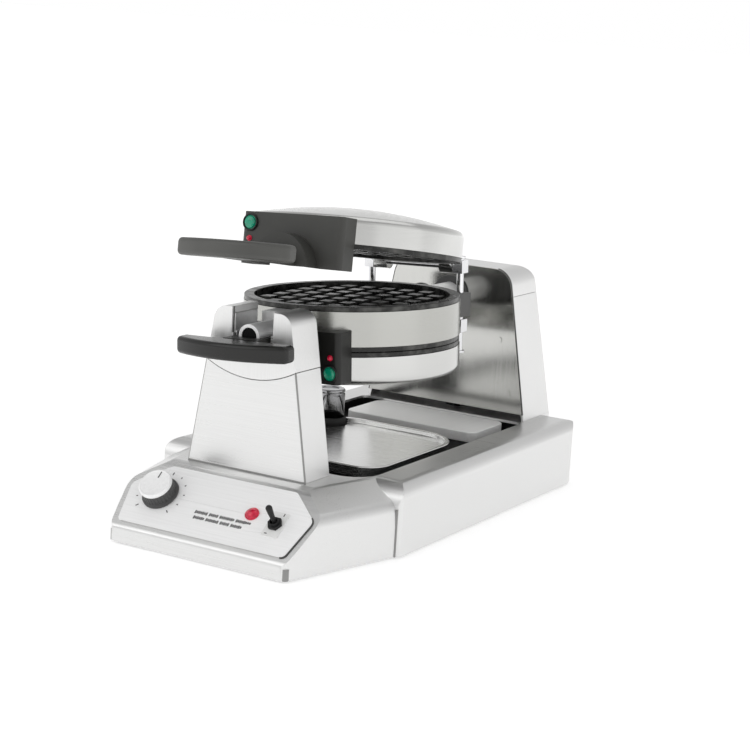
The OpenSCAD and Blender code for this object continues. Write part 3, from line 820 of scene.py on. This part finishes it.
# Width of the softened edge of every refined node, in millimetres.
REFINED = {
    "base_shell": 1.4, "front_tower_shell": 1.2, "front_tower_cap": 1.4, "rear_tower_shell": 1.4,
    "rear_tower_cap": 1.6, "rear_inner_plate": 0.5, "front_bearing": 0.3, "rear_bearing": 0.5,
    "tray_well": 0.8, "drip_tray": 1.2, "rear_drip_plate": 1.2, "pivot_neck": 1.2,
    "hinge_yoke": 1.2, "hinge_posts": 0.4, "lower_carrier": 0.6, "upper_carrier": 0.6,
    "control_panel": 0.25, "switch_housing": 0.3, "switch_bushing": 0.3, "switch_lever": 0, "mid_band": 0.7,
    "mid_grid_top": 0.7, "mid_grid_bottom": 0.7, "upper_grid": 0.7, "lower_grid": 0.7,
    "upper_cover": 0.8, "lower_cover": 0.8, "upper_housing": 1.6, "lower_housing": 1.6,
    "upper_arm": 1.0, "lower_arm": 1.0, "upper_handle": 4.0, "lower_handle": 4.0,
    "power_lamp": 0.3, "upper_green_lamp": 0.8, "lower_green_lamp": 0.8,
    "upper_red_lamp": 0.4, "lower_red_lamp": 0.4, "rear_shaft": 0.4, "mains_gland": 0.4,
    "rubber_feet": 0.6,
}


def plain_nodes():
    """Every node without a piece of its own keeps its mesh and gets its slot's material."""
    made_anew = {"control_knob", "tray_post", *REFINED}
    for node, piece in NODES.items():
        if node not in made_anew:
            piece.data.materials.clear()
            piece.data.materials.append(MATERIALS[SLOTS[node]])


# ---------------------------------------------------------------- studio

def floor():
    """Plain white floor that grows lighter far away, where the lamps do not reach."""
    near, far, near_glow, far_glow = 1.0, 4.0, 0.4, 0.8
    bpy.ops.mesh.primitive_plane_add(size=40, location=(0, 0, 0))
    ground = bpy.context.object
    ground.name = "floor"
    made, tree, shader = shader_of("floor")
    colour = tint(tree, noise(tree, 1.5), (0.95, 0.95, 0.95), (0.97, 0.97, 0.97))
    tree.links.new(colour, shader.inputs["Base Color"])
    tree.links.new(colour, shader.inputs["Emission Color"])
    place = tree.nodes.new("ShaderNodeTexCoord")
    reach = tree.nodes.new("ShaderNodeVectorMath")
    reach.operation = "LENGTH"
    tree.links.new(place.outputs["Object"], reach.inputs[0])
    glow = spread(tree, reach.outputs["Value"], near_glow, far_glow, near, far)
    tree.links.new(glow, shader.inputs["Emission Strength"])
    shader.inputs["Roughness"].default_value = 0.9
    shader.inputs["Specular IOR Level"].default_value = 0.1
    ground.data.materials.append(made)


def sky():
    """White round the horizon and dimmer overhead, so that upward curves read as grey."""
    world = bpy.data.worlds.new("sky")
    scene.world = world
    world.use_nodes = True
    tree = world.node_tree
    place = tree.nodes.new("ShaderNodeTexCoord")
    split = tree.nodes.new("ShaderNodeSeparateXYZ")
    ramp = tree.nodes.new("ShaderNodeValToRGB")
    stops = ramp.color_ramp.elements
    stops[0].position = 0.04
    stops[0].color = (1, 1, 1, 1)
    stops[1].position = 0.8
    stops[1].color = (0.46, 0.46, 0.46, 1)
    middle = stops.new(0.16)
    middle.color = (0.85, 0.85, 0.85, 1)
    tree.links.new(place.outputs["Generated"], split.inputs["Vector"])
    tree.links.new(split.outputs["Z"], ramp.inputs["Fac"])
    tree.links.new(ramp.outputs["Color"], tree.nodes["Background"].inputs["Color"])
    tree.nodes["Background"].inputs["Strength"].default_value = 1.0


def area_lamp(name, place, size, power):
    """A square lamp, in metres and watts, that points at the cooking body."""
    aim = Vector((0, 0, 0.12))
    light = bpy.data.lights.new(name, "AREA")
    light.shape = "RECTANGLE"
    light.size = size
    light.size_y = size
    light.energy = power
    holder = bpy.data.objects.new(name, light)
    scene.collection.objects.link(holder)
    holder.location = place
    holder.rotation_euler = (aim - Vector(place)).to_track_quat("-Z", "Y").to_euler()


def camera():
    """Long lens from the front right, a little above, with the slight roll of the picture."""
    azimuth, elevation, roll = map(math.radians, (30.7, 12.3, 3.3))
    target, distance = Vector((0, 0, 0.1)), 1.851
    level = math.cos(elevation)
    back = Vector((math.sin(azimuth) * level, -math.cos(azimuth) * level, math.sin(elevation)))
    data = bpy.data.cameras.new("camera")
    data.lens = 91.4
    data.sensor_width = 36
    data.shift_x = 0.030
    data.shift_y = 0.041
    data.clip_end = 60
    holder = bpy.data.objects.new("camera", data)
    scene.collection.objects.link(holder)
    holder.location = target + back * distance
    look = (-back).to_track_quat("-Z", "Y").to_matrix()
    holder.rotation_euler = (look @ Matrix.Rotation(roll, 3, "Z")).to_euler()
    scene.camera = holder


# ---------------------------------------------------------------- all of it

for refined_node, edge_width in REFINED.items():
    refined(refined_node, edge_width)
plain_nodes()
control_knob()
dial_marks()
printed_dashes()
panel_seam()
lip_corner_shade()
step_creases()
tower_foot_shadow()
neck_bore_shade()
switch_marks()
for lamp, has_bezel in (("green_lamp", True), ("red_lamp", False)):
    for lid in ("upper_", "lower_"):
        signal_lamp(lid + lamp, has_bezel)
front_tower_seams()
rear_tower_gap()
saddle_recess_shade()
tray_post()
floor()
sky()
area_lamp("key", (-0.9, -1.5, 1.6), 1.6, 8)
area_lamp("side", (1.9, -0.4, 0.9), 2.0, 2.5)
area_lamp("top", (0.2, 0.4, 2.0), 1.6, 5)
scene.view_settings.view_transform = "Standard"
camera()
